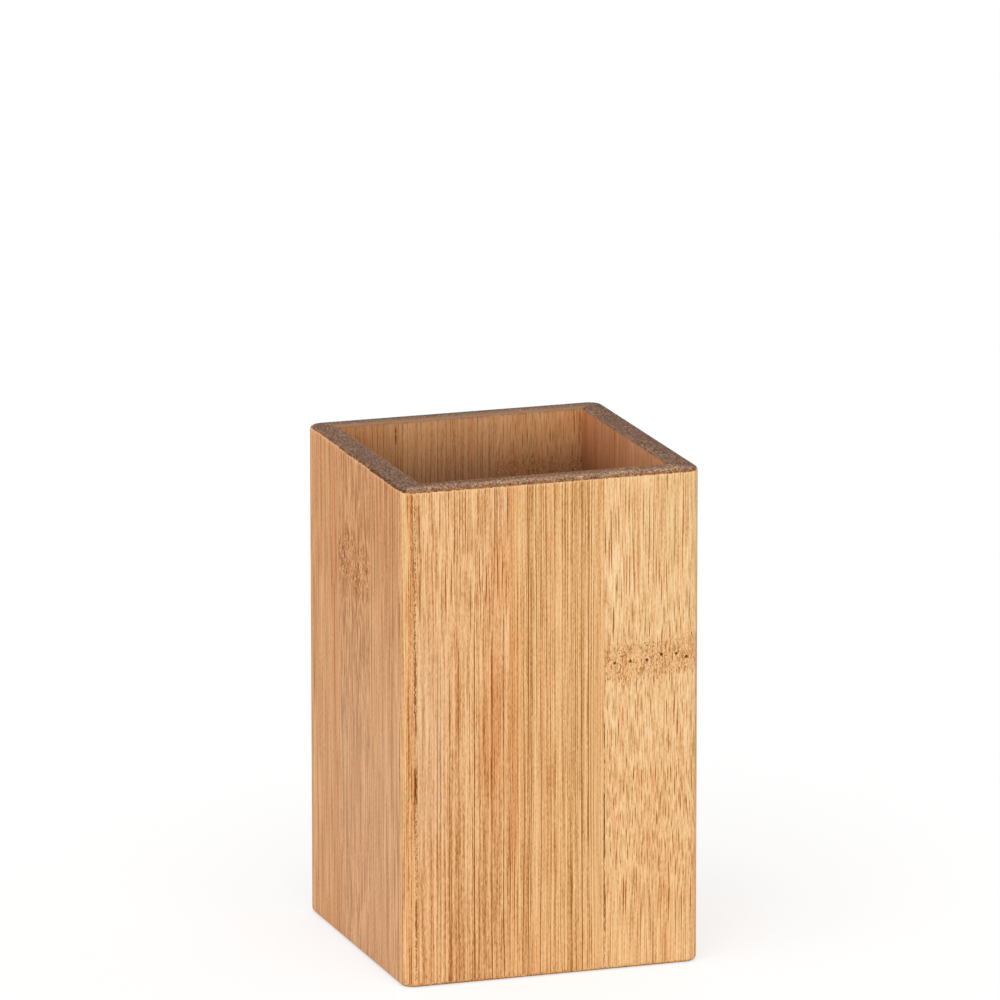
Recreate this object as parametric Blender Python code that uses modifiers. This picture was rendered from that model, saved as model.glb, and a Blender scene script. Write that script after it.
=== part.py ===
"""Square bamboo tumbler for toothbrushes, glued up from sawn strips.

Metres, +Z up. The origin is the centre of the footprint, at the height of the table, and the front
wall looks along -Y. Four laminated walls meet in mitres at the corners. Their lower inner edges are
rebated for the base panel, which sits a little above the table. After the glue-up the whole box was
sanded, which rounded its upright corners and eased its rims, so every wall strip is cut from the
same rounded shell by its own joints.
"""

import math

import bmesh
import bpy
from mathutils import Matrix, Vector

# Outside and wall
CUP_WIDTH = 0.065
CUP_HEIGHT = 0.106
WALL_THICKNESS = 0.0055

# Sanded edges: the upright corners, the outer edges of rim and foot, and the inner edge of the rim
CORNER_RADIUS = 0.003
OUTER_EDGE_RADIUS = 0.001
MOUTH_CHAMFER = 0.0005

# Glue between the strips, in the mitres and round the base
GLUE_LINE = 0.0003

# A whole strip's share of the cup's width, and the joints in each panel
STRIP_SHARE = 0.3169
JOINTS_PER_PANEL = 3

# Where each panel's first joint lies, as a share of the panel's width: a wall from its left end seen
# from outside, and the base from its left side
FRONT_JOINT_SHARE = 0.0400
RIGHT_JOINT_SHARE = 0.1385
BACK_JOINT_SHARE = 0.0677
LEFT_JOINT_SHARE = 0.3400
BASE_JOINT_SHARE = 0.1010

# Base panel in its rebate
BASE_THICKNESS = 0.005
BASE_RECESS = 0.0005
REBATE_DEPTH_SHARE = 0.5

# How far a cut runs past what it cuts
OVERRUN = 0.001

# Smoothness of the round edges
CORNER_SEGMENTS = 10
EDGE_SEGMENTS = 4
SMOOTH_ANGLE = math.radians(30)

# Bamboo tones as seen in daylight, in sRGB
PALE_BAMBOO = (0.898, 0.706, 0.494)
STRAW_BAMBOO = (0.871, 0.663, 0.439)
HONEY_BAMBOO = (0.863, 0.659, 0.451)
AMBER_BAMBOO = (0.831, 0.612, 0.412)
ROSY_BAMBOO = (0.804, 0.596, 0.435)
BAMBOO_ROUGHNESS = 0.55

WALLS = (
    ("front_wall", FRONT_JOINT_SHARE, (AMBER_BAMBOO, HONEY_BAMBOO, STRAW_BAMBOO, PALE_BAMBOO)),
    ("right_wall", RIGHT_JOINT_SHARE, (STRAW_BAMBOO, PALE_BAMBOO, HONEY_BAMBOO, STRAW_BAMBOO)),
    ("back_wall", BACK_JOINT_SHARE, (HONEY_BAMBOO, STRAW_BAMBOO, AMBER_BAMBOO, HONEY_BAMBOO)),
    ("left_wall", LEFT_JOINT_SHARE, (HONEY_BAMBOO, ROSY_BAMBOO, ROSY_BAMBOO, AMBER_BAMBOO)),
)
BASE_TONES = (STRAW_BAMBOO, HONEY_BAMBOO, PALE_BAMBOO, STRAW_BAMBOO)

HALF_WIDTH = CUP_WIDTH / 2
STRIP_WIDTH = CUP_WIDTH * STRIP_SHARE
CAVITY_WIDTH = CUP_WIDTH - 2 * WALL_THICKNESS
REBATE_WIDTH = CAVITY_WIDTH + 2 * WALL_THICKNESS * REBATE_DEPTH_SHARE
REBATE_HEIGHT = BASE_RECESS + BASE_THICKNESS + GLUE_LINE
BASE_WIDTH = REBATE_WIDTH - 2 * GLUE_LINE


def clear_scene():
    """Start from an empty scene."""
    for item in list(bpy.data.objects):
        bpy.data.objects.remove(item, do_unlink=True)


def new_collection(name):
    """A collection of that name, linked to the scene."""
    collection = bpy.data.collections.new(name)
    bpy.context.scene.collection.children.link(collection)
    return collection


def box_object(name, low, high, collection):
    """A box between two corners, from Blender's own cube, with its scale applied."""
    low = Vector(low)
    high = Vector(high)
    bpy.ops.mesh.primitive_cube_add(size=1)
    box = bpy.context.object
    box.name = name
    box.data.name = name
    size = high - low
    box.data.transform(Matrix.Translation((low + high) / 2) @ Matrix.Diagonal((*size, 1)))
    for owner in list(box.users_collection):
        owner.objects.unlink(box)
    collection.objects.link(box)
    return box


def make_guide(item):
    """Show a cutter or guide as wires only, and leave it out of the finished tumbler."""
    item.display_type = "WIRE"
    item.hide_render = True


def add_boolean(item, operand, operation):
    """Cut or trim one object with another."""
    modifier = item.modifiers.new(operation.lower() + "_" + operand.name, "BOOLEAN")
    modifier.operation = operation
    modifier.solver = "EXACT"
    modifier.object = operand


def linear_channel(value):
    """One sRGB channel as linear light."""
    if value <= 0.04045:
        return value / 12.92
    return ((value + 0.055) / 1.055) ** 2.4


def bamboo_material(name, tone):
    """Plain sanded bamboo of one tone."""
    material = bpy.data.materials.new(name)
    material.use_nodes = True
    shader = material.node_tree.nodes["Principled BSDF"]
    color = [linear_channel(channel) for channel in tone] + [1.0]
    shader.inputs["Base Color"].default_value = color
    shader.inputs["Roughness"].default_value = BAMBOO_ROUGHNESS
    shader.inputs["Metallic"].default_value = 0.0
    material.diffuse_color = color
    return material


def round_upright_corners(item):
    """Round the four upright outer corners of the box."""
    builder = bmesh.new()
    builder.from_mesh(item.data)
    upright = [edge for edge in builder.edges if edge.verts[0].co.xy == edge.verts[1].co.xy]
    bmesh.ops.bevel(builder, geom=upright, offset=CORNER_RADIUS, offset_type="OFFSET",
                    segments=CORNER_SEGMENTS, profile=0.5, affect="EDGES")
    builder.to_mesh(item.data)
    builder.free()


def mouth_cutter(collection):
    """An upside-down square pyramid frustum that chamfers the inner edge of the rim."""
    depth = MOUTH_CHAMFER + 2 * OVERRUN
    narrow = CAVITY_WIDTH / 2 - OVERRUN
    wide = narrow + depth
    corner = math.sqrt(2)
    bpy.ops.mesh.primitive_cone_add(vertices=4, radius1=narrow * corner, radius2=wide * corner, depth=depth,
                                    location=(0, 0, CUP_HEIGHT + OVERRUN - depth / 2),
                                    rotation=(0, 0, math.radians(45)))
    cutter = bpy.context.object
    cutter.name = "mouth_cutter"
    for owner in list(cutter.users_collection):
        owner.objects.unlink(cutter)
    collection.objects.link(cutter)
    return cutter


def sanded_shell(cutters):
    """The tumbler's walls as one rounded tube, from which every wall strip is cut."""
    shell = box_object("sanded_shell", (-HALF_WIDTH, -HALF_WIDTH, 0), (HALF_WIDTH, HALF_WIDTH, CUP_HEIGHT), cutters)
    round_upright_corners(shell)
    easing = shell.modifiers.new("eased_edges", "BEVEL")
    easing.limit_method = "ANGLE"
    easing.angle_limit = SMOOTH_ANGLE
    easing.width = OUTER_EDGE_RADIUS
    easing.segments = EDGE_SEGMENTS

    cavity_half = CAVITY_WIDTH / 2
    cavity = box_object("cavity_cutter", (-cavity_half, -cavity_half, -OVERRUN),
                        (cavity_half, cavity_half, CUP_HEIGHT + OVERRUN), cutters)
    rebate_half = REBATE_WIDTH / 2
    rebate = box_object("rebate_cutter", (-rebate_half, -rebate_half, -OVERRUN),
                        (rebate_half, rebate_half, REBATE_HEIGHT), cutters)
    for cutter in (cavity, rebate, mouth_cutter(cutters)):
        add_boolean(shell, cutter, "DIFFERENCE")
        make_guide(cutter)
    make_guide(shell)
    return shell


def strip_spans(joint_share, width, overrun):
    """Start and end of each strip of a panel, across the panel from its middle."""
    first = (joint_share - 0.5) * width
    joints = [first + index * STRIP_WIDTH for index in range(JOINTS_PER_PANEL)]
    starts = [-width / 2 - overrun] + [joint + GLUE_LINE / 2 for joint in joints]
    ends = [joint - GLUE_LINE / 2 for joint in joints] + [width / 2 + overrun]
    return list(zip(starts, ends))


def cut_mitre(item, normal):
    """Saw the end of a strip along a mitre, half a glue line short of the plane through the cup's axis."""
    normal = Vector(normal).normalized()
    builder = bmesh.new()
    builder.from_mesh(item.data)
    parts = builder.verts[:] + builder.edges[:] + builder.faces[:]
    cut = bmesh.ops.bisect_plane(builder, geom=parts, plane_co=-normal * GLUE_LINE / 2, plane_no=normal,
                                 clear_outer=True)
    rim = [part for part in cut["geom_cut"] if isinstance(part, bmesh.types.BMEdge)]
    if rim:
        bmesh.ops.edgeloop_fill(builder, edges=rim)
        bmesh.ops.recalc_face_normals(builder, faces=builder.faces[:])
    builder.to_mesh(item.data)
    builder.free()


def apply_modifiers(item):
    """Turn an object and its modifiers into a plain mesh, smooth over the round edges."""
    bpy.context.view_layer.update()
    depsgraph = bpy.context.evaluated_depsgraph_get()
    solid = bpy.data.meshes.new_from_object(item.evaluated_get(depsgraph), depsgraph=depsgraph)
    blank = item.data
    item.modifiers.clear()
    item.data = solid
    bpy.data.meshes.remove(blank)
    solid.name = item.name
    solid.shade_smooth()
    solid.set_sharp_from_angle(angle=SMOOTH_ANGLE)


def wall_strip(name, start, end, frame, shell, tone, collection):
    """One strip of the wall that the frame carries, between two joints and as tall as the cup."""
    back = -HALF_WIDTH + WALL_THICKNESS + OVERRUN
    strip = box_object(name, (start, -HALF_WIDTH - OVERRUN, -OVERRUN), (end, back, CUP_HEIGHT + OVERRUN), collection)
    for side in (-1, 1):
        cut_mitre(strip, (side, 1, 0))
    strip.parent = frame
    add_boolean(strip, shell, "INTERSECT")
    apply_modifiers(strip)
    strip.data.materials.clear()
    strip.data.materials.append(bamboo_material(name, tone))


def wall(name, joint_share, tones, turn, shell, collection):
    """A laminated wall: strips side by side, mitred where the wall meets its neighbours."""
    frame = bpy.data.objects.new(name, None)
    frame.rotation_euler.z = turn
    collection.objects.link(frame)
    for index, (start, end) in enumerate(strip_spans(joint_share, CUP_WIDTH, OVERRUN)):
        wall_strip(f"{name}_strip_{index + 1}", start, end, frame, shell, tones[index], collection)


def base_panel(collection):
    """The base: strips that run from front to back, with room for glue all round in the rebate."""
    frame = bpy.data.objects.new("base", None)
    frame.location.z = BASE_RECESS
    collection.objects.link(frame)
    half = BASE_WIDTH / 2
    for index, (start, end) in enumerate(strip_spans(BASE_JOINT_SHARE, BASE_WIDTH, 0)):
        name = f"base_strip_{index + 1}"
        strip = box_object(name, (start, -half, 0), (end, half, BASE_THICKNESS), collection)
        strip.parent = frame
        strip.data.materials.append(bamboo_material(name, BASE_TONES[index]))


def main():
    clear_scene()
    tumbler = new_collection("toothbrush_cup")
    cutters = new_collection("cutters")
    shell = sanded_shell(cutters)
    for index, (name, joint_share, tones) in enumerate(WALLS):
        wall(name, joint_share, tones, index * math.pi / 2, shell, tumbler)
    base_panel(tumbler)


main()
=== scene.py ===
"""Dresses the bamboo tumbler: every strip is rebuilt with sanded edges and gets its own solid timber.

Lengths are in millimetres while a piece is worked out, and in metres once it is a mesh. Each wall is
worked out as if it were the front one: x runs along it, y through it from the outer face inwards, z up.
"""

import math
import random
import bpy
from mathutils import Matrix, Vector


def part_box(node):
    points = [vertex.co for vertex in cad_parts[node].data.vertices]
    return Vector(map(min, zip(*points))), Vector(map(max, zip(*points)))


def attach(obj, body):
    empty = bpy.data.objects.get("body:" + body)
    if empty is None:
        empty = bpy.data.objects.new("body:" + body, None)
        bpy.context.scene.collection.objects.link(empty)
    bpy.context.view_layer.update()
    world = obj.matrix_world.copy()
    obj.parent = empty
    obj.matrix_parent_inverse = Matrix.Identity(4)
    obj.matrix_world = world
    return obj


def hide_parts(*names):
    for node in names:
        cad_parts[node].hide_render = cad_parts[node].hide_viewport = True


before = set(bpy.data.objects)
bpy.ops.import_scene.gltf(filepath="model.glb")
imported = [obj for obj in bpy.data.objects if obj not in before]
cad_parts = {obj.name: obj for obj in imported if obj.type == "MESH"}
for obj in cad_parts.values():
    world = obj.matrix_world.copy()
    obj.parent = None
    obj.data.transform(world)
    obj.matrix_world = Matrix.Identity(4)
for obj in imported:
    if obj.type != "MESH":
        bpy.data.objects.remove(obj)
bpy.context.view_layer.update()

from types import SimpleNamespace

import bpy
from mathutils import Matrix, Vector

MM = 0.001

# The tumbler, as in the CAD
CUP_HEIGHT = 106.0
HALF_WIDTH = 32.5
WALL = 5.5
CORNER_RADIUS = 3.0
EDGE_RADIUS = 1.0
MOUTH_RADIUS = 0.5
REBATE_DEPTH = 2.75
REBATE_HEIGHT = 5.8
CAD_GLUE = 0.3

WALLS = ("front_wall", "right_wall", "back_wall", "left_wall")
STRIPS_PER_PANEL = 4

# What shows of the glue between two strips, and of the glue in a mitre
GLUE = 0.01
MITRE_GLUE = 0.012

# Joints that sink more than the others: from and to what height, and how much more
DEEP_JOINTS = {("front_wall", 0): ((38, 62, 0.12),), ("front_wall", 2): ((2, 42, 0.04),)}
SHALLOW_SINK = 0.02
SINK_RANGE = 0.03

# Mesh steps
SHARP_ANGLE = math.radians(32)
CORNER_STEPS = 7
ARC_STEPS = 5
COLUMN_STEP = 1.6
ROW_STEP = 2.0
DEPTH_STEPS = 6
FOOT_ROWS = (2.4, 4.2)
REBATE_STEP = 0.3
BASE_EASE = 0.25
BASE_STEPS = (6, 20, 2)
JOINT_COLUMNS = (0.0, 0.08, 0.2)
JOINT_SINK = (1.0, 0.4, 0.0)

# How far points keep apart: from a strip's end, from its tip where two cuts meet, from a kink, and in depth
COLUMN_CLEAR = 0.004
COLUMN_APART = 0.05
TIP_CLEAR = 0.02
KINK_CLEAR = 0.3
LAYER_CLEAR = 0.01
TOUCH = 1e-6

# Where each face of a strip lies in its bake map: low and high corners
MAP_OUTER = ((0.010, 0.120), (0.450, 0.990))
MAP_INNER = ((0.470, 0.120), (0.910, 0.990))
MAP_LEFT = ((0.925, 0.120), (0.955, 0.990))
MAP_RIGHT = ((0.965, 0.120), (0.995, 0.990))
MAP_TOP = ((0.010, 0.010), (0.490, 0.100))
MAP_BOTTOM = ((0.510, 0.010), (0.990, 0.100))

# The faces of a block: the axis that each one closes, at which end, and its map
COLUMNS, ROWS, LAYERS = range(3)
BLOCK_MAPS = (
    (LAYERS, 0, MAP_OUTER), (LAYERS, 1, MAP_INNER), (COLUMNS, 0, MAP_LEFT), (COLUMNS, 1, MAP_RIGHT),
    (ROWS, 1, MAP_TOP), (ROWS, 0, MAP_BOTTOM),
)
QUAD = ((0, 0), (1, 0), (1, 1), (0, 1))


def lerp(a, b, share):
    return a + (b - a) * share


def limit(value, low, high):
    return min(max(value, low), high)


def quarter_arc(steps):
    """Angles from 0 to 90 degrees."""
    return [math.pi / 2 * step / steps for step in range(steps + 1)]


class WallStrip:
    """A strip of a wall, between two joints or a joint and a mitre, as a block of quads."""

    def __init__(self, start, end):
        self.start = start
        self.end = end
        self.sinks = ()
        self.mitred = (start <= -HALF_WIDTH, end >= HALF_WIDTH)
        runs = (start + HALF_WIDTH - MITRE_GLUE, HALF_WIDTH - MITRE_GLUE - end)
        self.reach = min(WALL, end + HALF_WIDTH - MITRE_GLUE - TIP_CLEAR, HALF_WIDTH - MITRE_GLUE - start - TIP_CLEAR)
        self.kinks = sorted(run for run in runs if KINK_CLEAR < run < self.reach - KINK_CLEAR)
        self.columns = self.place_columns()
        self.rows = self.place_rows()
        inside = [self.share_across(*self.outer_point(column, 0.0)) for column in self.columns[1:-1]]
        self.across = [0.0] + inside + [1.0]

    def left(self, depth):
        return max(self.start, -HALF_WIDTH + depth + MITRE_GLUE)

    def right(self, depth):
        return min(self.end, HALF_WIDTH - depth - MITRE_GLUE)

    def share_across(self, x, depth):
        return (x - self.left(depth)) / (self.right(depth) - self.left(depth))

    def place_columns(self):
        """Places along the wall: close together round a corner and beside a joint."""
        mitre = CORNER_RADIUS + (MITRE_GLUE - math.sqrt(2 * CORNER_RADIUS ** 2 - MITRE_GLUE ** 2)) / 2
        low_angle = math.acos((CORNER_RADIUS - mitre) / CORNER_RADIUS)
        places = []
        for step in range(CORNER_STEPS + 1):
            angle = lerp(low_angle, math.pi / 2, step / CORNER_STEPS)
            inset = CORNER_RADIUS * (1 - math.cos(angle))
            places += [-HALF_WIDTH + inset, HALF_WIDTH - inset]
        low = -HALF_WIDTH + mitre if self.mitred[0] else self.start
        high = HALF_WIDTH - mitre if self.mitred[1] else self.end
        places = [place for place in places if low + COLUMN_APART < place < high - COLUMN_APART]
        for inset in JOINT_COLUMNS[1:]:
            if not self.mitred[0]:
                places.append(low + inset)
            if not self.mitred[1]:
                places.append(high - inset)
        places = sorted([low, high] + places)
        filled = [places[0]]
        for place in places[1:]:
            gap = place - filled[-1]
            count = max(1, round(gap / COLUMN_STEP))
            filled += [filled[-1] + gap * (step + 1) / count for step in range(count)]
        return filled

    def place_rows(self):
        """Height and inset of the outer face, then height and depth of the inner face, row by row."""
        arc = quarter_arc(ARC_STEPS)
        rows = []
        for angle in arc:
            height = EDGE_RADIUS * (1 - math.cos(angle))
            rows.append((height, EDGE_RADIUS * (1 - math.sin(angle)), height, REBATE_DEPTH))
        for height in FOOT_ROWS:
            rows.append((height, 0.0, height, REBATE_DEPTH))

        # Two rows meet at the rebate's inner corner, unless the strip is too narrow to reach it
        low = REBATE_HEIGHT + REBATE_STEP
        for height, depth in ((REBATE_HEIGHT - REBATE_STEP, REBATE_DEPTH), (low, WALL)):
            rows.append((height, 0.0, REBATE_HEIGHT if self.reach > REBATE_DEPTH else height, depth))

        high = CUP_HEIGHT - EDGE_RADIUS
        count = round((high - low) / ROW_STEP)
        for step in range(1, count):
            height = lerp(low, high, step / count)
            rows.append((height, 0.0, height, WALL))
        for angle in arc:
            rows.append((
                high + EDGE_RADIUS * math.sin(angle), EDGE_RADIUS * (1 - math.cos(angle)),
                CUP_HEIGHT - MOUTH_RADIUS * (1 - math.sin(angle)), WALL - MOUTH_RADIUS * (1 - math.cos(angle)),
            ))
        return rows

    def outer_point(self, place, inset):
        """Where a column meets the outer face, moved inwards by an inset."""
        for side in (-1, 1):
            run = HALF_WIDTH - side * place
            if run < CORNER_RADIUS:
                cosine = (CORNER_RADIUS - run) / CORNER_RADIUS
                sine = math.sqrt(1 - cosine * cosine)
                radius = CORNER_RADIUS - inset
                depth = CORNER_RADIUS - radius * sine
                x = side * (HALF_WIDTH - CORNER_RADIUS + radius * cosine)
                return limit(x, self.left(depth) + COLUMN_CLEAR, self.right(depth) - COLUMN_CLEAR), depth
        return place, inset

    def sink(self, column, row):
        """How far the face sinks beside a joint."""
        deep = 0.0
        for place, mitred, sinks in zip((self.start, self.end), self.mitred, self.sinks):
            if mitred:
                continue
            away = abs(self.columns[column] - place)
            for near, far, high, low in zip(JOINT_COLUMNS, JOINT_COLUMNS[1:], JOINT_SINK, JOINT_SINK[1:]):
                if near - TOUCH <= away <= far + TOUCH:
                    deep = max(deep, sinks[row] * lerp(high, low, (away - near) / (far - near)))
        return deep

    def depth_at(self, outer, inner, layer):
        """Depth of a layer, one of which follows the place where a joint runs into the mitre."""
        stops = [outer] + [limit(kink, outer + LAYER_CLEAR, inner - LAYER_CLEAR) for kink in self.kinks] + [inner]
        part = layer / DEPTH_STEPS * (len(stops) - 1)
        index = min(int(part), len(stops) - 2)
        return lerp(stops[index], stops[index + 1], part - index)

    def point(self, column, row, layer):
        outer_z, inset, inner_z, inner_depth = self.rows[row]
        x, depth = self.outer_point(self.columns[column], inset + self.sink(column, row))
        at_end = column in (0, len(self.columns) - 1)
        if layer == 0 and not at_end:
            return Vector((x, depth - HALF_WIDTH, outer_z))
        inner_depth = min(inner_depth, self.reach)
        outer_share = self.across[column] if at_end else limit(self.share_across(x, depth), 0.0, 1.0)
        here = self.depth_at(depth, inner_depth, layer)
        share = (here - depth) / (inner_depth - depth)
        across = lerp(outer_share, self.across[column], share)
        return Vector((
            lerp(self.left(here), self.right(here), across), here - HALF_WIDTH, lerp(outer_z, inner_z, share),
        ))


def quad_block(name, counts, point):
    """A closed block of quads: its surface only, with a bake map."""
    last = [count - 1 for count in counts]
    index = {}
    points = []

    def corner(*place):
        if place not in index:
            index[place] = len(points)
            points.append(point(*place) * MM)
        return index[place]

    faces = []
    charts = []
    for axis, end, chart in BLOCK_MAPS:
        first, second = [other for other in range(3) if other != axis]
        for one in range(last[first]):
            for two in range(last[second]):
                face = []
                spots = []
                for step in QUAD:
                    place = [0, 0, 0]
                    place[axis] = end * last[axis]
                    place[first] = one + step[0]
                    place[second] = two + step[1]
                    face.append(corner(*place))
                    share = (place[first] / last[first], place[second] / last[second])
                    if axis == COLUMNS:
                        share = (share[1], share[0])
                    spots.append([lerp(chart[0][side], chart[1][side], share[side]) for side in range(2)])
                if (axis == ROWS) == (end == 0):
                    face.reverse()
                    spots.reverse()
                faces.append(face)
                charts.append(spots)
    mesh = bpy.data.meshes.new(name)
    mesh.from_pydata([tuple(spot) for spot in points], [], faces)
    layer = mesh.uv_layers.new(name="OFBake")
    for polygon, spots in zip(mesh.polygons, charts):
        for loop, spot in zip(polygon.loop_indices, spots):
            layer.data[loop].uv = spot
    mesh.update()
    mesh.shade_smooth()
    mesh.set_sharp_from_angle(angle=SHARP_ANGLE)
    return mesh


def srgb(red, green, blue):
    """A colour given as 0 to 255, as linear light."""
    channels = []
    for value in (red, green, blue):
        value = value / 255
        channels.append(value / 12.92 if value <= 0.04045 else ((value + 0.055) / 1.055) ** 2.4)
    return (*channels, 1.0)


class Shader:
    """Builds a material's nodes, so that a pattern reads as the sum of its parts."""

    def __init__(self, name):
        self.material = bpy.data.materials.new(name)
        self.material.use_nodes = True
        self.tree = self.material.node_tree
        self.surface = self.tree.nodes["Principled BSDF"]
        self.random = random.Random(name)

    def feed(self, socket, value):
        if isinstance(value, bpy.types.NodeSocket):
            self.tree.links.new(value, socket)
        else:
            socket.default_value = value

    def node(self, kind, inputs, output=0, **settings):
        made = self.tree.nodes.new("ShaderNode" + kind)
        for key, value in settings.items():
            setattr(made, key, value)
        for key, value in inputs.items():
            self.feed(made.inputs[key], value)
        return made.outputs[output]

    def math(self, operation, *values):
        return self.node("Math", dict(enumerate(values)), operation=operation)

    def chain(self, operation, values):
        total = values[0]
        for value in values[1:]:
            total = self.math(operation, total, value)
        return total

    def add(self, *values):
        return self.chain("ADD", values)

    def times(self, *values):
        return self.chain("MULTIPLY", values)

    def most(self, *values):
        return self.chain("MAXIMUM", values)

    def less(self, value, amount):
        return self.math("SUBTRACT", value, amount)

    def ratio(self, value, unit):
        return self.math("DIVIDE", value, unit)

    def distance_from(self, value, place):
        return self.math("ABSOLUTE", self.less(value, place))

    def weigh(self, value, factor, base):
        """The value times the factor, plus the base."""
        return self.math("MULTIPLY_ADD", value, factor, base)

    def total(self, base, *parts):
        """A level plus weighted patterns, each of which varies about a half."""
        level = base
        for weight, part in parts:
            level = self.weigh(self.less(part, 0.5), weight, level)
        return level

    def step(self, value, low, high, start=0.0, end=1.0):
        """A smooth step from one level to another."""
        inputs = {"Value": value, "From Min": low, "From Max": high, "To Min": start, "To Max": end}
        return self.node("MapRange", inputs, interpolation_type="SMOOTHSTEP")

    def drop(self, value, low, high, start=1.0):
        """A smooth step down to nothing."""
        return self.step(value, low, high, start, 0.0)

    def stretch(self, value, under, over, soft):
        """1 between two places, with soft ends."""
        return self.times(self.step(value, under - soft, under + soft), self.drop(value, over - soft, over + soft))

    def bend(self, base, away, spread, pull):
        """The base, pulled one way below a place and the other way above it."""
        return self.weigh(self.math("TANH", self.ratio(away, spread)), pull, base)

    def vector(self, x, y, z):
        return self.node("CombineXYZ", {"X": x, "Y": y, "Z": z})

    def parts(self, color):
        """The three channels of a colour."""
        return self.node("SeparateColor", {0: color}).node.outputs

    def scaled(self, vector, size):
        """A vector measured in cells of a size, from a place of its own."""
        offset = [self.random.uniform(-90, 90) for _ in range(3)]
        cells = [1 / value for value in size]
        return self.node("VectorMath", {0: vector, 1: cells, 2: offset}, operation="MULTIPLY_ADD")

    def noise(self, vector, size, detail=2.0, roughness=0.5, distortion=0.0):
        inputs = {
            "Vector": self.scaled(vector, size), "Scale": 1.0, "Detail": detail, "Roughness": roughness,
            "Distortion": distortion,
        }
        return self.node("TexNoise", inputs)

    def cells(self, vector, size):
        """Distance to the middle of the nearest cell, and the cell's own random colour."""
        inputs = {"Vector": self.scaled(vector, size), "Scale": 1.0}
        made = self.node("TexVoronoi", inputs, voronoi_dimensions="2D", feature="F1")
        return made, made.node.outputs["Color"]

    def ramp(self, value, places, colors):
        made = self.tree.nodes.new("ShaderNodeValToRGB")
        elements = made.color_ramp.elements
        while len(elements) < len(places):
            elements.new(0.5)
        for element, place in zip(elements, places):
            element.position = place
        for element, color in zip(elements, colors):
            element.color = srgb(*color)
        self.feed(made.inputs[0], value)
        return made.outputs[0]

    def mix(self, share, first, second, blend="MIX"):
        made = self.tree.nodes.new("ShaderNodeMix")
        made.data_type = "RGBA"
        made.blend_type = blend
        self.feed(made.inputs[0], share)
        self.feed(made.inputs[6], first)
        self.feed(made.inputs[7], second)
        return made.outputs[2]

    def tinge(self, share, color, wash):
        """A share of the colour seen through a wash."""
        return self.mix(share, color, self.mix(1.0, color, wash, "MULTIPLY"))


# Timber tones: dark fibre, its brown edge, the body of the wood, its lighter part, and the palest lines
TONE_PLACES = (0.06, 0.34, 0.54, 0.70, 0.92)
TONES = {
    "pale": ((172, 106, 46), (212, 157, 98), (238, 190, 134), (248, 205, 151), (255, 222, 170)),
    "straw": ((160, 98, 42), (201, 144, 85), (230, 176, 117), (241, 190, 133), (252, 208, 154)),
    "honey": ((160, 92, 40), (200, 139, 82), (229, 175, 120), (242, 191, 137), (253, 208, 156)),
    "amber": ((156, 88, 34), (200, 136, 76), (226, 164, 106), (237, 180, 122), (248, 198, 142)),
    "rosy": ((160, 94, 48), (192, 128, 78), (213, 151, 99), (227, 167, 113), (240, 186, 133)),
}
END_PLACES = (0.04, 0.30, 0.55, 0.76, 0.98)
END_GRAIN = ((48, 28, 18), (96, 67, 50), (127, 98, 80), (160, 126, 101), (210, 176, 142))
EASED_PLACES = (0.10, 0.38, 0.64, 0.95)
EASED_GRAIN = ((92, 50, 26), (128, 82, 50), (158, 110, 72), (196, 146, 102))

LINE_ROSY = srgb(255, 208, 184)
LINE_OLIVE = srgb(232, 238, 210)
NODE_WASH = srgb(240, 208, 174)
NODE_BROWN = srgb(150, 80, 22)
NODE_DARK = srgb(92, 32, 0)
NODE_PALE = srgb(255, 214, 156)
# Painted highlight along the outer face just below the rim
EDGE_HIGHLIGHT = srgb(252, 214, 162)
RIM_LINE = srgb(172, 124, 96)
RIM_GOLDEN = srgb(166, 125, 88)
# Painted shade on the rim towards its inner edge, where it turns down into the cup
RIM_EDGE_SHADE = srgb(112, 73, 45)
# Painted shade that darkens the inside towards the bottom of the cup
INSIDE_PAINTED_SHADE = srgb(176, 174, 180)

# What lies along a joint, and a painted highlight along a corner: its colour, and how long a piece of it is
GLUES = {
    "dark": (srgb(138, 84, 36), 0.5),
    "pale": (srgb(234, 184, 134), 0.5),
    "crack": (srgb(112, 60, 0), 1.6),
    "brown": (srgb(160, 88, 46), 4.0),
    # A painted highlight along a sanded corner
    "corner_highlight": (srgb(255, 214, 158), 3.0),
}

# Soft patches of another tone, and of painted shade: the colour, and how it is laid on
PATCHES = {
    "flushed": (srgb(244, 216, 190), "MULTIPLY"),
    "bleached": (srgb(246, 210, 174), "MIX"),
    # Painted shade, laid on as a darker tint
    "painted_shade": (srgb(212, 196, 172), "MULTIPLY"),
    "clear": (srgb(240, 190, 132), "MIX"),
}

# Patterns that add up: the weight, the size across, through and along the strip, and the detail
WANDER = ((1.3, (30, 30, 85), 1.0), (0.12, (3, 3, 14), 2.0))
SWEEP = ((2.0, (9, 40, 34), 1.5), (0.6, (1.4, 12, 16), 1.0))
NODE_WANDER = ((1.6, (0.9, 0.9, 1.5), 2.0),)
NODE_SWEEP = ((2.2, (1.1, 1.1, 1.0), 2.0),)

# Single patterns: the size across, through and along the strip, and the detail
FINE = ((0.19, 0.25, 12), 1.0)
LINES = ((0.34, 0.6, 80), 1.0)
BANDS = ((2.4, 3.5, 120), 1.5)
CLOUDS = ((6, 8, 20), 2.0)
GRIT = ((0.18, 0.20, 0.90), 1.5)
NODE_EDGE = ((4, 9, 200), 2.0)
VEIN_EDGE = ((0.5, 3, 9), 2.0)
RIM_JAG = ((0.22, 0.30, 400), 2.0)
RIM_CLOUDS = ((2.2, 2.2, 4), 2.0)
RIM_LAYERS = ((0.5, 0.5, 0.16), 1.0)
SPECKLE = (0.34, 1.1, 0.34)
SPECKLE_CROSSWISE = (1.1, 0.34, 0.34)
GLUE_EDGE = (0.4, 3, 1.1)

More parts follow.
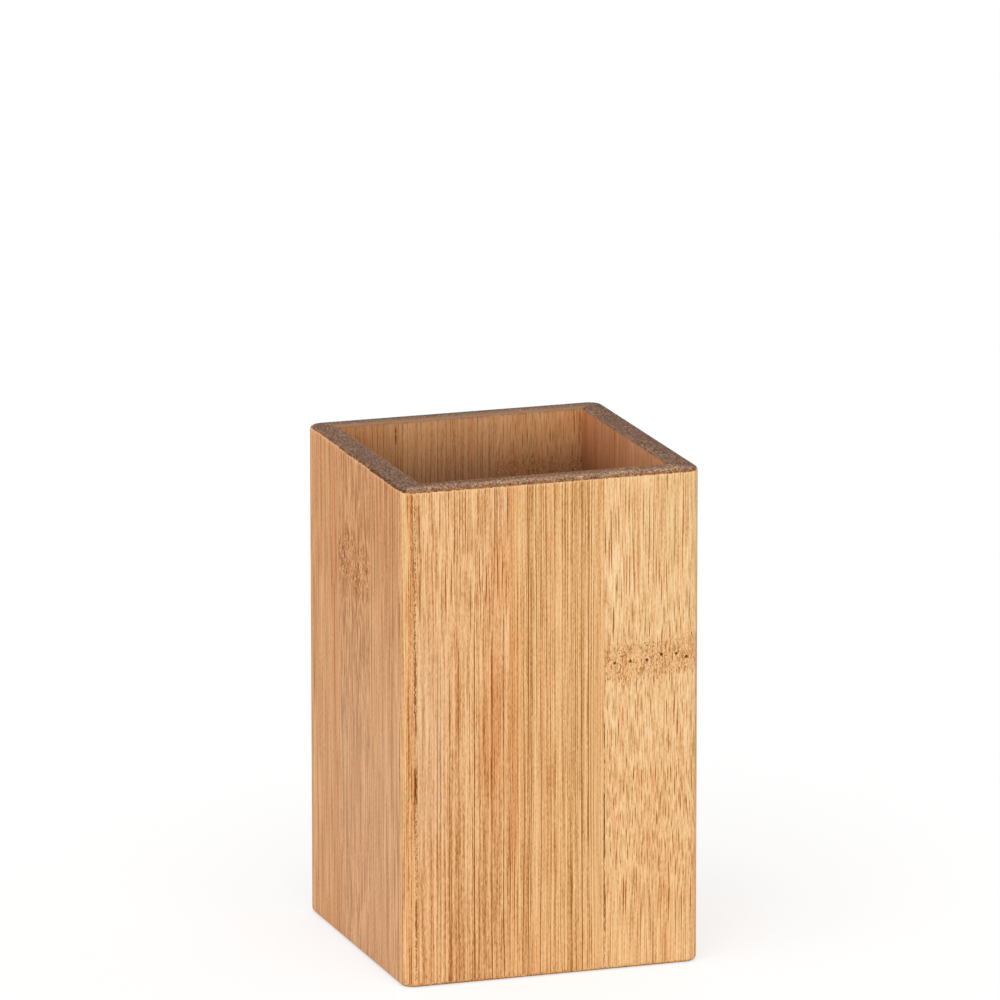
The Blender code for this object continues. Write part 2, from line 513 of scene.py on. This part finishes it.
# Bundles of fibre, by the distance from their middle: dark core, and where the pale sheath rises and falls
CORE = (0.13, 0.26)
SHEATH_RISE = (0.24, 0.34)
SHEATH_FALL = (0.36, 0.50)
SMALL_CORE = (0.14, 0.32)
SMALL_CELL = (0.55, 0.6)

# The wood's level: its mean, what each pattern adds, and the level about which the contrast works
LEVEL = 0.69
FINE_WEIGHT = 1.05
CLOUD_WEIGHT = 0.16
GRIT_WEIGHT = 0.85
SHEATH_WEIGHT = 0.22
CORE_WEIGHT = -0.52
SMALL_WEIGHT = -0.32
CONTRAST_LEVEL = 0.62
INSIDE_CONTRAST = -0.38
SHADED = (8, 98)

VEIN_WIDTH = 0.16
VEIN_DARK = -1.25
PORE_PITCH = 3.1
PORE_DROP = 1.5
INSIDE_FROM = (WALL - 1.6, WALL - 0.6)
BRIM = 0.36
BRIM_SOFT = 0.06
GLOSS = 0.10
BUMP_HEIGHT = 0.00005

# A board where its row says nothing else. The fibres: how fast they leave the face and how much they
# sweep, below what height they stay beside it, the size of a bundle, and the strength of the bundles,
# lines, bands and tints. The looks: contrast, lightness added at the foot and the rim, lightness of the
# rim and of its eased edge, how far the rim is faded, how much painted shade darkens its inner edge,
# and how far down it is eased. The strokes of a culm node: size and strength. Then the rows of features
# that the Timber class reads.
PLAIN_BOARD = dict(
    slope=0.01, sweep=0.6, steady_below=None, cell=(0.56, 0.50), dash=1.0, lined=0.9, banded=0.3, tinted=1.0,
    contrast=1.0, shade=(0.0, 0.0), rim=(0.0, 0.0), fade=0.0, browned=0.0, eased=0.5,
    tick=(0.30, 0.30, 1.3), stroke=0.5,
    bends=(), nodes=(), veins=(), flush=(), joints=(), lining=(246, 236, 235), crosswise=False,
)


class Timber(Shader):
    """Solid sawn bamboo, in millimetres: bundles of fibre run up the strip and leave its face at a slope."""

    def __init__(self, name, low, high, board):
        super().__init__(name)
        self.low = low
        self.high = high
        self.board = board
        self.set_axes()
        self.bend_fibres()
        self.color = self.wood()
        self.tint_lines()
        self.lay_patches()
        self.mark_nodes()
        self.tint_inside()
        self.cut_ends()
        self.round_rim()
        self.glue_joints()
        self.finish()

    def paint(self, share, color):
        self.color = self.mix(share, self.color, color)

    def wash(self, share, color):
        self.color = self.tinge(share, self.color, color)

    def patterns(self, rows, strength=1.0):
        return [(strength * weight, self.noise(self.place, size, detail)) for weight, size, detail in rows]

    def set_axes(self):
        place = self.node("TexCoord", {}, output="Object")
        self.place = self.node("VectorMath", {0: place, 1: (1 / MM, 1 / MM, 1 / MM)}, operation="MULTIPLY")
        self.x, y, self.z = self.node("SeparateXYZ", {0: self.place}).node.outputs
        self.depth = self.add(y, HALF_WIDTH)

    def bend_fibres(self):
        """The bundles wander a little along the strip, and more where a culm node disturbed them."""
        board = self.board
        wander = self.total(0.0, *self.patterns(WANDER))
        drift = self.total(0.0, *self.patterns(SWEEP, board.sweep))
        climb = self.z
        steady = board.steady_below
        if steady is not None:
            drift = self.times(drift, self.step(self.z, steady - 8, steady + 8, 0.12, 1.0))
            climb = self.math("SMOOTH_MAX", self.z, steady, 12.0)
        drift = self.weigh(climb, board.slope, drift)
        for height, spread, pull in board.bends:
            drift = self.bend(drift, self.less(self.z, height), spread, pull)

        self.band = 0.0
        for height, spread, tall, pull, _ in board.nodes:
            away = self.less(self.z, height)
            drift = self.bend(drift, away, spread, pull)
            uneven = self.total(0.0, (tall * 0.9, self.noise(self.place, *NODE_EDGE)))
            near = self.math("ABSOLUTE", self.add(away, uneven))
            self.band = self.most(self.band, self.drop(near, tall * 0.30, tall * 0.75))
        if board.nodes:
            wander = self.weigh(self.total(0.0, *self.patterns(NODE_WANDER)), self.band, wander)
            drift = self.weigh(self.total(0.0, *self.patterns(NODE_SWEEP)), self.band, drift)
        self.across = self.add(self.x, wander)
        self.inward = self.add(self.depth, drift)
        self.grain = self.vector(self.across, self.inward, self.z)

    def wood(self):
        """Bundles of two sizes, each in a paler sheath, then fine fibres, bands of tone and clouds."""
        board = self.board
        flat = self.vector(self.across, self.inward, 0.0)
        self.distance, own_color = self.cells(flat, (*board.cell, 1.0))
        own, self.tint, _ = self.parts(own_color)
        self.weight = self.weigh(own, 0.75, 0.25)
        self.bundle = self.times(self.drop(self.distance, *CORE), self.weight)
        sheath = self.times(self.step(self.distance, *SHEATH_RISE), self.drop(self.distance, *SHEATH_FALL))
        small_cell = [side * share for side, share in zip(board.cell, SMALL_CELL)]
        small_distance, small_color = self.cells(flat, (*small_cell, 1.0))
        small = self.times(self.drop(small_distance, *SMALL_CORE), self.parts(small_color)[1])
        self.fine = self.noise(self.grain, *FINE)
        lines = self.noise(self.grain, *LINES)
        bands = self.noise(self.grain, *BANDS)
        self.clouds = self.noise(self.grain, *CLOUDS)
        self.grit = self.noise(self.place, *GRIT)
        level = self.total(
            LEVEL, (FINE_WEIGHT, self.fine), (board.lined, lines), (board.banded, bands),
            (CLOUD_WEIGHT, self.clouds), (GRIT_WEIGHT, self.grit), (SHEATH_WEIGHT * board.dash, sheath),
        )
        level = self.weigh(self.bundle, CORE_WEIGHT * board.dash, level)
        level = self.weigh(small, SMALL_WEIGHT * board.dash, level)

        # Straight dark fibres
        for at, under, over, amount in board.veins:
            ragged = self.noise(self.place, *VEIN_EDGE)
            off = self.total(self.distance_from(self.x, at), (0.22, ragged))
            upright = self.stretch(self.z, under, over, 6)
            vein = self.times(self.drop(off, VEIN_WIDTH * 0.5, VEIN_WIDTH * 1.6, VEIN_DARK * amount), upright)
            level = self.weigh(vein, self.step(ragged, 0.2, 0.7, 1.0, 0.5), level)

        self.inner = self.step(self.depth, *INSIDE_FROM, 0.0, 1.0 if board.lining else 0.0)
        kept = self.weigh(self.inner, INSIDE_CONTRAST * board.contrast, board.contrast)
        level = self.weigh(self.less(level, CONTRAST_LEVEL), kept, CONTRAST_LEVEL)
        level = self.add(level, self.step(self.z, *SHADED, *board.shade))
        return self.ramp(level, TONE_PLACES, TONES[board.tone])

    def tint_lines(self):
        """Some lines are rosier, some greener."""
        cell = self.board.cell
        tinted = self.board.tinted
        hue = self.noise(self.grain, (cell[0] * 2, cell[1] * 3.5, 110))
        rosy = self.step(hue, 0.54, 0.72, 0.0, 0.34 * tinted)
        rosy = self.most(rosy, self.times(self.bundle, self.step(self.tint, 0.55, 0.75, 0.0, 0.55)))
        self.wash(rosy, LINE_ROSY)
        olive = self.step(hue, 0.46, 0.30, 0.0, 0.30 * min(tinted, 0.8))
        olive = self.most(olive, self.times(self.bundle, self.step(self.tint, 0.35, 0.15, 0.0, 0.7)))
        self.wash(olive, LINE_OLIVE)

    def lay_patches(self):
        """Soft patches of tone or painted shade: the place and height of their middle, their reach, strength and
        kind.
        """
        for at, height, wide, tall, strength, kind in self.board.flush:
            run = self.ratio(self.less(self.across, at), wide)
            rise = self.ratio(self.less(self.z, height), tall)
            away = self.math("SQRT", self.add(self.times(run, run), self.times(rise, rise)))
            patch = self.drop(self.total(away, (0.9, self.clouds)), 0.3, 1.15, strength)
            color, blend = PATCHES[kind]
            self.color = self.mix(patch, self.color, color, blend)

    def mark_nodes(self):
        """Culm nodes: a brown band of short strokes, with a row of pores that are more or less open."""
        board = self.board
        self.pores = 0.0
        if not board.nodes:
            return
        strokes = self.noise(self.place, board.tick, distortion=0.3)
        curl = self.noise(self.place, (*board.tick[:2], board.tick[2] * 0.33), detail=1.5, distortion=0.4)
        mark = self.times(self.step(strokes, 0.53, 0.64), self.band)
        spark = self.times(self.step(curl, 0.46, 0.36), self.band)
        self.wash(self.times(self.band, 0.35), NODE_WASH)
        self.paint(self.times(mark, board.stroke), NODE_BROWN)
        self.paint(self.times(spark, 0.45), NODE_PALE)
        for height, _, _, _, open_share in board.nodes:
            self.open_pores(height, open_share, curl)

    def open_pores(self, height, open_share, curl):
        """A row of dark pores, each in a stain and a pale ring with dots round it."""
        run = self.ratio(self.x, PORE_PITCH)
        cell_at = self.math("FLOOR", run)
        draw = self.node("TexWhiteNoise", {"W": self.add(cell_at, height)}, output=1, noise_dimensions="1D")
        draws = self.parts(draw)
        aside = self.less(self.less(run, cell_at), self.weigh(draws[0], 0.7, 0.15))
        aside = self.times(aside, PORE_PITCH)
        above = self.less(self.less(self.z, height - PORE_DROP), self.weigh(draws[1], 1.4, -0.7))
        above = self.weigh(self.x, -0.06, above)
        away = self.math("SQRT", self.weigh(above, above, self.times(aside, aside)))
        radii = self.ratio(away, self.weigh(draws[2], 0.12, 0.20))
        ring = self.times(self.step(radii, 4.2, 2.2), self.step(curl, 0.54, 0.42), open_share)
        dots = self.times(self.step(radii, 5.5, 3.0), self.step(curl, 0.54, 0.64), open_share)
        stain = self.times(self.step(radii, 2.0, 1.0), open_share)
        pore = self.times(self.drop(radii, 0.5, 1.3), open_share)
        self.paint(self.times(ring, 0.70), NODE_PALE)
        self.paint(self.times(dots, 0.60), NODE_BROWN)
        self.paint(self.times(stain, 0.75), NODE_BROWN)
        self.paint(self.times(pore, 0.95), NODE_DARK)
        self.pores = self.most(self.pores, pore)

    def tint_inside(self):
        """The inside gets a redder tint that also darkens it, partly painted shade, and more painted shade towards
        the bottom.
        """
        if self.board.lining:
            # A redder tint of the wood that also darkens the inside: partly painted shade
            self.wash(self.inner, srgb(*self.board.lining))
            # Painted shade: darker towards the bottom of the cup
            deep = self.times(self.inner, self.step(self.z, self.high - 1, self.high - 16))
            self.wash(deep, INSIDE_PAINTED_SHADE)

    def cut_ends(self):
        """End grain at the rim and the foot: cut bundles show as dark dots in a purplish brown ground."""
        board = self.board
        self.outer = self.step(self.depth, 1.7, 1.2)
        brim = self.weigh(self.outer, BRIM - board.eased, self.high - BRIM)
        jag = self.total(0.0, (0.60, self.noise(self.place, *RIM_JAG)), (-0.14, self.weight))
        self.over = self.less(self.add(self.z, jag), brim)

        # Painted highlight: a pale band on the outer face just below the rim
        self.paint(self.times(self.step(self.over, -0.7, -0.1), self.outer, 0.25), EDGE_HIGHLIGHT)

        foot = self.drop(self.add(self.z, self.times(jag, -1.0)), self.low + 0.30, self.low + 0.42)
        self.end = self.most(self.step(self.over, -BRIM_SOFT, BRIM_SOFT), foot)
        size = SPECKLE_CROSSWISE if board.crosswise else SPECKLE
        self.speckle = self.noise(self.place, size, roughness=0.7)
        self.broad = self.noise(self.place, *RIM_CLOUDS)
        cut = self.total(0.57 + board.rim[0], (1.6, self.speckle), (0.30, self.broad))
        cut = self.weigh(self.drop(self.distance, 0.10, 0.36), -0.16, cut)
        self.paint(self.end, self.ramp(cut, END_PLACES, END_GRAIN))
        if board.fade:
            turned = self.step(self.depth, 1.0, WALL, 0.0, board.fade)
            self.paint(self.times(turned, self.end, self.step(self.speckle, 0.38, 0.64, 1.0, 0.5)), RIM_GOLDEN)

    def round_rim(self):
        """It turns golden brown over the eased outer edge, and pale along the inner one; on some strips painted shade
        darkens it towards the inner edge.
        """
        board = self.board
        high = self.high
        golden = self.times(
            self.step(self.over, -BRIM_SOFT, BRIM_SOFT), self.step(self.z, high - 0.10, high - 0.34), self.outer,
        )
        layers = self.noise(self.place, *RIM_LAYERS)
        cut = self.total(0.50 + board.rim[1], (1.8, self.speckle), (0.7, self.broad), (1.0, layers))
        self.paint(golden, self.ramp(cut, EASED_PLACES, EASED_GRAIN))
        line = self.times(self.step(self.depth, WALL - 0.8, WALL - 0.4), self.step(self.z, high - 0.8, high - 0.45))
        self.paint(self.times(line, self.step(self.broad, 0.3, 0.6, 0.10, 0.30)), RIM_LINE)
        # Painted shade: the rim darkens towards its inner edge, like the shaded inside beyond it
        if board.browned:
            dark = self.step(self.depth, WALL - 4.1, WALL - 2.0, 0.0, board.browned)
            dark = self.times(dark, self.step(self.z, high - 1.2, high - 0.5))
            self.paint(self.times(dark, self.step(self.speckle, 0.38, 0.64, 1.0, 0.6)), RIM_EDGE_SHADE)

    def glue_joints(self):
        """Glue and torn fibre where they show along a joint, and a painted highlight along a corner: place, from, to,
        share, width and kind.
        """
        self.glued = 0.0
        for at, under, over, amount, wide, kind in self.board.joints:
            glue, length = GLUES[kind]
            ragged = self.noise(self.place, GLUE_EDGE, detail=3.0, roughness=0.7)
            off = self.total(self.distance_from(self.x, at), (wide * 1.6, ragged))
            near = self.drop(off, wide * 0.5, wide)
            upright = self.stretch(self.total(self.z, (3.0, ragged)), under, over, 0.5)
            broken = self.noise(self.place, (0.30, 3, length), roughness=0.6)
            broken = self.step(broken, 0.64 - amount * 0.3, 0.70 - amount * 0.3)
            line = self.times(near, upright, broken)
            self.paint(self.times(line, 0.85), glue)
            self.glued = self.most(self.glued, line)

    def finish(self):
        """Gloss and relief."""
        inputs = self.surface.inputs
        rough = self.total(0.60, (0.20, self.fine), (0.12, self.grit))
        rough = self.weigh(self.end, 0.14, rough)
        relief = self.total(0.5, (0.4, self.fine), (0.35, self.grit))
        relief = self.weigh(self.bundle, -0.40, relief)
        if self.board.nodes:
            relief = self.weigh(self.pores, -0.8, relief)
        relief = self.weigh(self.times(self.end, self.less(self.speckle, 0.5)), 2.0, relief)
        if self.board.joints:
            relief = self.weigh(self.glued, -0.4, relief)
        bump = self.node("Bump", {"Strength": 0.55, "Distance": BUMP_HEIGHT, "Height": relief})
        self.feed(inputs["Base Color"], self.color)
        self.feed(inputs["Roughness"], rough)
        self.feed(inputs["Normal"], bump)
        if self.board.joints:
            self.feed(inputs["Specular IOR Level"], self.weigh(self.glued, -GLOSS, GLOSS))
        else:
            inputs["Specular IOR Level"].default_value = GLOSS


# What lies along the joints of the front wall
FRONT_CORNER = (
    (-29.9, 74, 103, 0.55, 0.34, "pale"), (-29.9, 74, 103, 0.40, 0.34, "dark"),
    (-29.9, 47, 74, 0.85, 0.40, "pale"), (-29.9, 58, 74, 0.75, 0.36, "dark"),
    (-29.8, 38, 60, 0.45, 0.34, "brown"), (-29.8, 39.5, 47, 0.7, 0.34, "brown"),
    (-29.8, 39.5, 47, 0.55, 0.26, "crack"), (-29.8, 1, 39, 0.45, 0.32, "pale"),
    (-29.8, 12.3, 18.7, 1.0, 0.30, "brown"), (-29.8, 1, 39, 0.40, 0.30, "dark"),
)
RIGHT_JOINT = (
    (11.3, 24, 38, 1.0, 0.20, "crack"), (11.3, 14, 18.5, 1.1, 0.18, "crack"), (11.3, 1, 54, 0.60, 0.15, "crack"),
)

# Dark fibres that run straight up the front: where, from and to what height, and how dark
FOOT = -9
BRINK = 118
MIDDLE_VEINS = (
    (-7.7, FOOT, BRINK, 0.24), (-5.4, FOOT, BRINK, 0.32), (-4.6, FOOT, BRINK, 0.26), (-2.0, FOOT, 60, 0.14),
    (0.5, FOOT, BRINK, 0.24), (4.2, FOOT, BRINK, 0.34), (6.5, FOOT, BRINK, 0.20), (7.1, 70, BRINK, 0.28),
    (7.7, FOOT, BRINK, 0.28),
)
LOW_VEINS = (
    (-28.5, FOOT, 62, 0.16), (-25.2, FOOT, 66, 0.16), (-22.3, FOOT, 64, 0.20), (-20.8, FOOT, 66, 0.22),
    (-17.6, FOOT, 62, 0.12), (-15.9, FOOT, 66, 0.16), (-14.9, FOOT, 66, 0.18), (-13.3, FOOT, 66, 0.22),
)

# What the strips of a panel have in common
PANELS = {
    "front": dict(eased=0.8),
    # The right wall's inside gets a darker tint: painted shade
    "right": dict(rim=(-0.09, -0.06), lining=(238, 211, 210), crosswise=True),
    "back": dict(rim=(-0.07, -0.05), fade=0.8),
    "left": dict(crosswise=True),
    # Painted shade darkens the whole base, to match the shaded bottom of the inside
    "base": dict(lining=None, flush=((0, 0, 80, 80, 0.45, "painted_shade"),)),
}
WIDE_CELL = (0.9, 0.8)

BOARDS = {
    "front_wall_strip_1": dict(
        tone="amber", slope=0.004, sweep=0.1, contrast=1.2, shade=(0.05, 0.05), rim=(0.14, 0.06), browned=1.0,
        joints=FRONT_CORNER),
    "front_wall_strip_2": dict(
        tone="honey", slope=0.016, sweep=0.22, steady_below=70, lined=0.55, banded=0.04, tinted=0.8,
        shade=(-0.08, 0.03), rim=(0.14, 0.06), browned=1.0, veins=LOW_VEINS, joints=FRONT_CORNER,
        flush=((-13.2, 52, 4, 26, 0.65, "flushed"), (-11, 86, 4, 14, 0.40, "flushed"),
               (-27, 52, 5, 30, 0.22, "bleached"))),
    "front_wall_strip_3": dict(
        tone="straw", slope=0.001, sweep=0.06, lined=0.66, banded=0.12, tinted=1.2, shade=(0.0, 0.02),
        rim=(0.16, 0.06), browned=0.9, veins=MIDDLE_VEINS, joints=RIGHT_JOINT,
        flush=((-9.2, 60, 2.4, 70, 0.60, "flushed"), (9.5, 30, 1.9, 60, 0.40, "clear"))),
    "front_wall_strip_4": dict(
        tone="pale", slope=0.014, sweep=0.25, steady_below=16, lined=0.65, banded=0.15, contrast=0.94,
        shade=(0.0, 0.035), rim=(0.16, 0.06), browned=0.75, tick=(0.30, 0.30, 1.7), stroke=0.62,
        bends=((31, 15, 0.85),), nodes=((66.4, 14, 7, 0.6, 1.0),), joints=RIGHT_JOINT,
        flush=((22, 0, 22, 62, 0.28, "flushed"),)),
    "right_wall_strip_1": dict(tone="straw", slope=0.006, sweep=0.25, contrast=0.85),
    "right_wall_strip_2": dict(
        tone="pale", slope=0.016, sweep=0.3, contrast=0.9, nodes=((30, 15, 8, -0.8, 0.8),)),
    "right_wall_strip_3": dict(tone="honey", slope=0.01, sweep=0.25, contrast=0.85),
    "right_wall_strip_4": dict(tone="straw", slope=0.004, sweep=0.2, contrast=0.85),
    "back_wall_strip_1": dict(tone="honey", slope=0.006, sweep=0.25, contrast=0.9),
    "back_wall_strip_2": dict(
        tone="straw", slope=0.014, sweep=0.3, contrast=0.9, nodes=((92, 14, 7, 0.8, 0.3),)),
    "back_wall_strip_3": dict(tone="honey", slope=0.004, sweep=0.2, dash=0.7),
    "back_wall_strip_4": dict(
        tone="honey", slope=0.012, sweep=0.3, dash=0.8, contrast=0.9,
        # Painted shade for the inside corner by the left wall, which shows on the outside too
        flush=((26, 94, 18, 18, 1.0, "painted_shade"),), joints=((14.5, 101.4, 104.8, 1.0, 0.20, "crack"),)),
    "left_wall_strip_1": dict(
        tone="rosy", slope=0.010, sweep=0.4, cell=WIDE_CELL, dash=0.7, banded=0.35, tinted=1.5,
        rim=(-0.05, 0.0), eased=0.45, flush=((0, 20, 80, 62, 0.08, "bleached"),)),
    "left_wall_strip_2": dict(
        tone="rosy", slope=0.020, sweep=0.5, cell=WIDE_CELL, banded=0.4, contrast=1.35, tinted=1.6,
        rim=(-0.06, -0.10), eased=0.55, tick=(0.8, 0.8, 2.6), stroke=1.0, nodes=((83, 14, 9, 0.8, 0.0),),
        flush=((0, 16, 80, 60, 0.19, "bleached"),)),
    "left_wall_strip_3": dict(
        tone="rosy", slope=0.008, sweep=0.5, cell=WIDE_CELL, banded=0.4, contrast=1.3, tinted=1.2,
        shade=(0.05, 0.10), rim=(-0.07, -0.28), eased=0.7, flush=((0, 20, 80, 70, 0.16, "bleached"),)),
    "left_wall_strip_4": dict(
        tone="straw", slope=0.006, sweep=0.3, rim=(-0.03, -0.30), eased=0.8,
        # A painted highlight along the mitre with the front wall
        joints=((31.6, 86, 102, 0.7, 0.18, "corner_highlight"),)),
    "base_strip_1": dict(tone="straw", slope=0.01, sweep=0.5),
    "base_strip_2": dict(tone="honey", slope=0.02, sweep=0.7),
    "base_strip_3": dict(tone="pale", slope=0.012, sweep=0.6),
    "base_strip_4": dict(tone="straw", slope=0.006, sweep=0.4),
}


def joint_sinks(seed, rows, deep=()):
    """How far a joint sinks below the face, row by row: a little everywhere, and more in some stretches."""
    draw = random.Random(seed)
    sinks = []
    for row in rows:
        amount = SHALLOW_SINK + SINK_RANGE * draw.random()
        for low, high, more in deep:
            if low < row[0] < high:
                amount += more * draw.random()
        sinks.append(amount)
    return sinks


def add_piece(name, mesh, place, low, high):
    """Puts a strip in its place, in its own timber, for the CAD strip of the same name."""
    board = SimpleNamespace(**{**PLAIN_BOARD, **PANELS[name.split("_")[0]], **BOARDS[name]})
    piece = bpy.data.objects.new(name + "_sanded", mesh)
    bpy.context.scene.collection.objects.link(piece)
    piece.matrix_world = place
    mesh.materials.append(Timber(name, low, high, board).material)
    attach(piece, "root")
    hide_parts(name)


def along_wall(node, turn):
    """Where a CAD strip starts and ends along its wall."""
    back = Matrix.Rotation(-turn, 3, "Z")
    ends = [(back @ Vector(corner)).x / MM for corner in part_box(node)]
    return min(ends), max(ends)


def build_walls():
    widen = (CAD_GLUE - GLUE) / 2
    for index, wall in enumerate(WALLS):
        turn = index * math.pi / 2
        for number in range(STRIPS_PER_PANEL):
            name = f"{wall}_strip_{number + 1}"
            start, end = along_wall(name, turn)
            start = -HALF_WIDTH if number == 0 else start - widen
            end = HALF_WIDTH if number == STRIPS_PER_PANEL - 1 else end + widen
            strip = WallStrip(start, end)
            strip.sinks = [
                joint_sinks(f"{wall} joint {joint}", strip.rows, DEEP_JOINTS.get((wall, joint), ()))
                for joint in (number - 1, number)
            ]
            mesh = quad_block(name, (len(strip.columns), len(strip.rows), DEPTH_STEPS + 1), strip.point)
            add_piece(name, mesh, Matrix.Rotation(turn, 4, "Z"), 0.0, CUP_HEIGHT)


def eased_places(start, end, count):
    """Places along an edge, closer together where the edge is eased."""
    body = [lerp(start + BASE_EASE, end - BASE_EASE, step / count) for step in range(count + 1)]
    return [start, start + BASE_EASE / 3] + body + [end - BASE_EASE / 3, end]


def eased_box(places):
    """A function that gives the points of a box with eased edges."""
    low = [line[0] + BASE_EASE for line in places]
    high = [line[-1] - BASE_EASE for line in places]

    def point(*index):
        spot = Vector([line[at] for line, at in zip(places, index)])
        core = Vector([limit(value, bottom, top) for value, bottom, top in zip(spot, low, high)])
        away = spot - core
        if away.length > BASE_EASE:
            away *= BASE_EASE / away.length
        spot = core + away
        return Vector((spot.x, spot.z, spot.y))

    return point


def build_base():
    """The base strips, laid so that their fibres run from front to back and their outer face is the upper one."""
    widen = (CAD_GLUE - GLUE) / 2
    for number in range(STRIPS_PER_PANEL):
        name = f"base_strip_{number + 1}"
        low, high = [Vector(corner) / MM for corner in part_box(name)]
        start = low.x - (widen if number else 0)
        end = high.x + (widen if number < STRIPS_PER_PANEL - 1 else 0)
        ends = ((start, end), (low.y, high.y), (-HALF_WIDTH, high.z - low.z - HALF_WIDTH))
        places = [eased_places(*pair, count) for pair, count in zip(ends, BASE_STEPS)]
        mesh = quad_block(name, [len(line) for line in places], eased_box(places))
        turn = Matrix.Translation((0, 0, (high.z - HALF_WIDTH) * MM)) @ Matrix.Rotation(-math.pi / 2, 4, "X")
        add_piece(name, mesh, turn, low.y, high.y)


# Camera, in metres, except for the lens and its sensor
AZIMUTH = math.radians(-18.678)
ELEVATION = math.radians(13.503)
ROLL = math.radians(-0.038)
DISTANCE = 2.2378
LENS = 382.40
SENSOR = 36.0
CLIP_END = 50.0
AIM_RIGHT = -0.000542
AIM_UP = 0.091570


def add_camera():
    forward = Vector((
        -math.sin(AZIMUTH) * math.cos(ELEVATION), math.cos(AZIMUTH) * math.cos(ELEVATION), -math.sin(ELEVATION),
    ))
    level = Vector((math.cos(AZIMUTH), math.sin(AZIMUTH), 0.0))
    upright = level.cross(forward)
    right = level * math.cos(ROLL) + upright * math.sin(ROLL)
    up = upright * math.cos(ROLL) - level * math.sin(ROLL)
    data = bpy.data.cameras.new("camera")
    data.lens = LENS
    data.sensor_width = SENSOR
    data.clip_end = CLIP_END
    camera = bpy.data.objects.new("camera", data)
    axes = Matrix((right, up, -forward)).transposed()
    place = right * AIM_RIGHT + up * AIM_UP - forward * DISTANCE
    camera.matrix_world = Matrix.Translation(place) @ axes.to_4x4()
    bpy.context.scene.collection.objects.link(camera)
    bpy.context.scene.camera = camera


# Light: a wide soft window, and a room that looks white but lights the cup less
WINDOW_ENERGY = 1.6
WINDOW_ANGLE = math.radians(60)
WINDOW_FROM = (-0.22, -0.42, 0.88)
ROOM_LIGHT = 0.63
ROOM_SEEN = 1.0
WHITE = (1, 1, 1, 1)

# Floor: a pale grey for the light that it sends back, and near white where it is seen
FLOOR_REACH = 4.0
FLOOR_HEIGHT = -0.0001
FLOOR_PAINT = (0.80, 0.80, 0.80, 1)
FLOOR_BRIGHT = (0.95, 0.95, 0.95, 1)
FLOOR_GLOW = 1.0
GLOW_SHARE = 0.64


def add_link(tree, source, node, socket):
    tree.links.new(source, node.inputs[socket])


def either_ray(tree, first, second):
    """1 where either of two outputs is 1."""
    seen = tree.nodes.new("ShaderNodeMath")
    seen.operation = "MAXIMUM"
    add_link(tree, first, seen, 0)
    add_link(tree, second, seen, 1)
    return seen.outputs[0]


def mix_shaders(tree, share, first, second):
    mixed = tree.nodes.new("ShaderNodeMixShader")
    if isinstance(share, float):
        mixed.inputs[0].default_value = share
    else:
        add_link(tree, share, mixed, 0)
    add_link(tree, first, mixed, 1)
    add_link(tree, second, mixed, 2)
    return mixed.outputs[0]


def diffuse(tree, color):
    paint = tree.nodes.new("ShaderNodeBsdfDiffuse")
    paint.inputs["Color"].default_value = color
    return paint.outputs[0]


def add_light():
    sun = bpy.data.lights.new("window", "SUN")
    sun.energy = WINDOW_ENERGY
    sun.angle = WINDOW_ANGLE
    lamp = bpy.data.objects.new("window", sun)
    lamp.rotation_euler = Vector(WINDOW_FROM).to_track_quat("Z", "Y").to_euler()
    bpy.context.scene.collection.objects.link(lamp)

    world = bpy.data.worlds.new("studio")
    bpy.context.scene.world = world
    world.use_nodes = True
    tree = world.node_tree
    rays = tree.nodes.new("ShaderNodeLightPath").outputs
    strength = tree.nodes.new("ShaderNodeMapRange")
    strength.inputs["To Min"].default_value = ROOM_LIGHT
    strength.inputs["To Max"].default_value = ROOM_SEEN
    add_link(tree, either_ray(tree, rays["Is Camera Ray"], rays["Is Transmission Ray"]), strength, "Value")
    background = tree.nodes["Background"]
    background.inputs["Color"].default_value = WHITE
    add_link(tree, strength.outputs[0], background, "Strength")


def add_floor():
    reach = FLOOR_REACH
    corners = [(-reach, -reach, 0), (reach, -reach, 0), (reach, reach, 0), (-reach, reach, 0)]
    mesh = bpy.data.meshes.new("floor")
    mesh.from_pydata(corners, [], [(0, 1, 2, 3)])
    floor = bpy.data.objects.new("floor", mesh)
    floor.location.z = FLOOR_HEIGHT
    bpy.context.scene.collection.objects.link(floor)
    material = bpy.data.materials.new("floor")
    material.use_nodes = True
    tree = material.node_tree
    tree.nodes.remove(tree.nodes["Principled BSDF"])
    rays = tree.nodes.new("ShaderNodeLightPath").outputs
    through = either_ray(tree, rays["Is Transmission Ray"], rays["Is Glossy Ray"])
    seen = either_ray(tree, rays["Is Camera Ray"], through)
    glow = tree.nodes.new("ShaderNodeEmission")
    glow.inputs["Strength"].default_value = FLOOR_GLOW
    shown = mix_shaders(tree, GLOW_SHARE, diffuse(tree, FLOOR_BRIGHT), glow.outputs[0])
    final = mix_shaders(tree, seen, diffuse(tree, FLOOR_PAINT), shown)
    add_link(tree, final, tree.nodes["Material Output"], "Surface")
    mesh.materials.append(material)


def main():
    build_walls()
    build_base()
    add_camera()
    add_light()
    add_floor()
    bpy.context.scene.view_settings.view_transform = "Standard"
    bpy.context.view_layer.update()


main()
